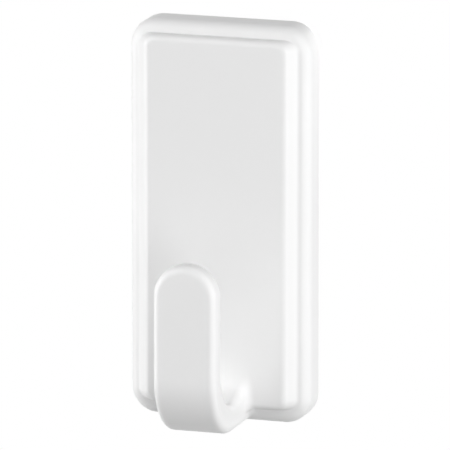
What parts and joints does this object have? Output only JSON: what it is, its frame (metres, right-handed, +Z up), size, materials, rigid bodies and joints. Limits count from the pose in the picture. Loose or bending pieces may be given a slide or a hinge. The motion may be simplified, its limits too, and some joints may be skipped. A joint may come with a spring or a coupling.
{
  "type": "adhesive wall hook",
  "caption": "Wall hook whose moulded cover with a J-shaped hook slides down onto a base plate that a stretch-release adhesive strip holds to a smooth wall.",
  "frame": {"origin": "on the wall plane, behind the middle of the cover's outline", "axes": "+Z up along the wall, +Y into the wall, so the hook faces -Y, +X to the right as seen from the front"},
  "size_m": [0.0374, 0.0297, 0.08],
  "materials": {
    "white_abs": "glossy white moulded ABS",
    "plate_plastic": "satin white moulded polystyrene",
    "strip_foam": "soft closed-cell foam",
    "strip_adhesive": "tacky, slightly yellow adhesive film",
    "tab_film": "dry polyester film"
  },
  "bodies": {
    "wall_plate": {"base_plate": "plate_plastic", "strip_core": "strip_foam", "wall_adhesive": "strip_adhesive", "plate_adhesive": "strip_adhesive", "tab_front_film": "tab_film", "tab_back_film": "tab_film"},
    "cover": {"hook_cover": "white_abs"}
  },
  "joints": [
    {"name": "cover_slide", "type": "slide", "parent": "wall_plate", "child": "cover", "axis": [0, 0, 1], "range_m": [0, 0.056]}
  ]
}
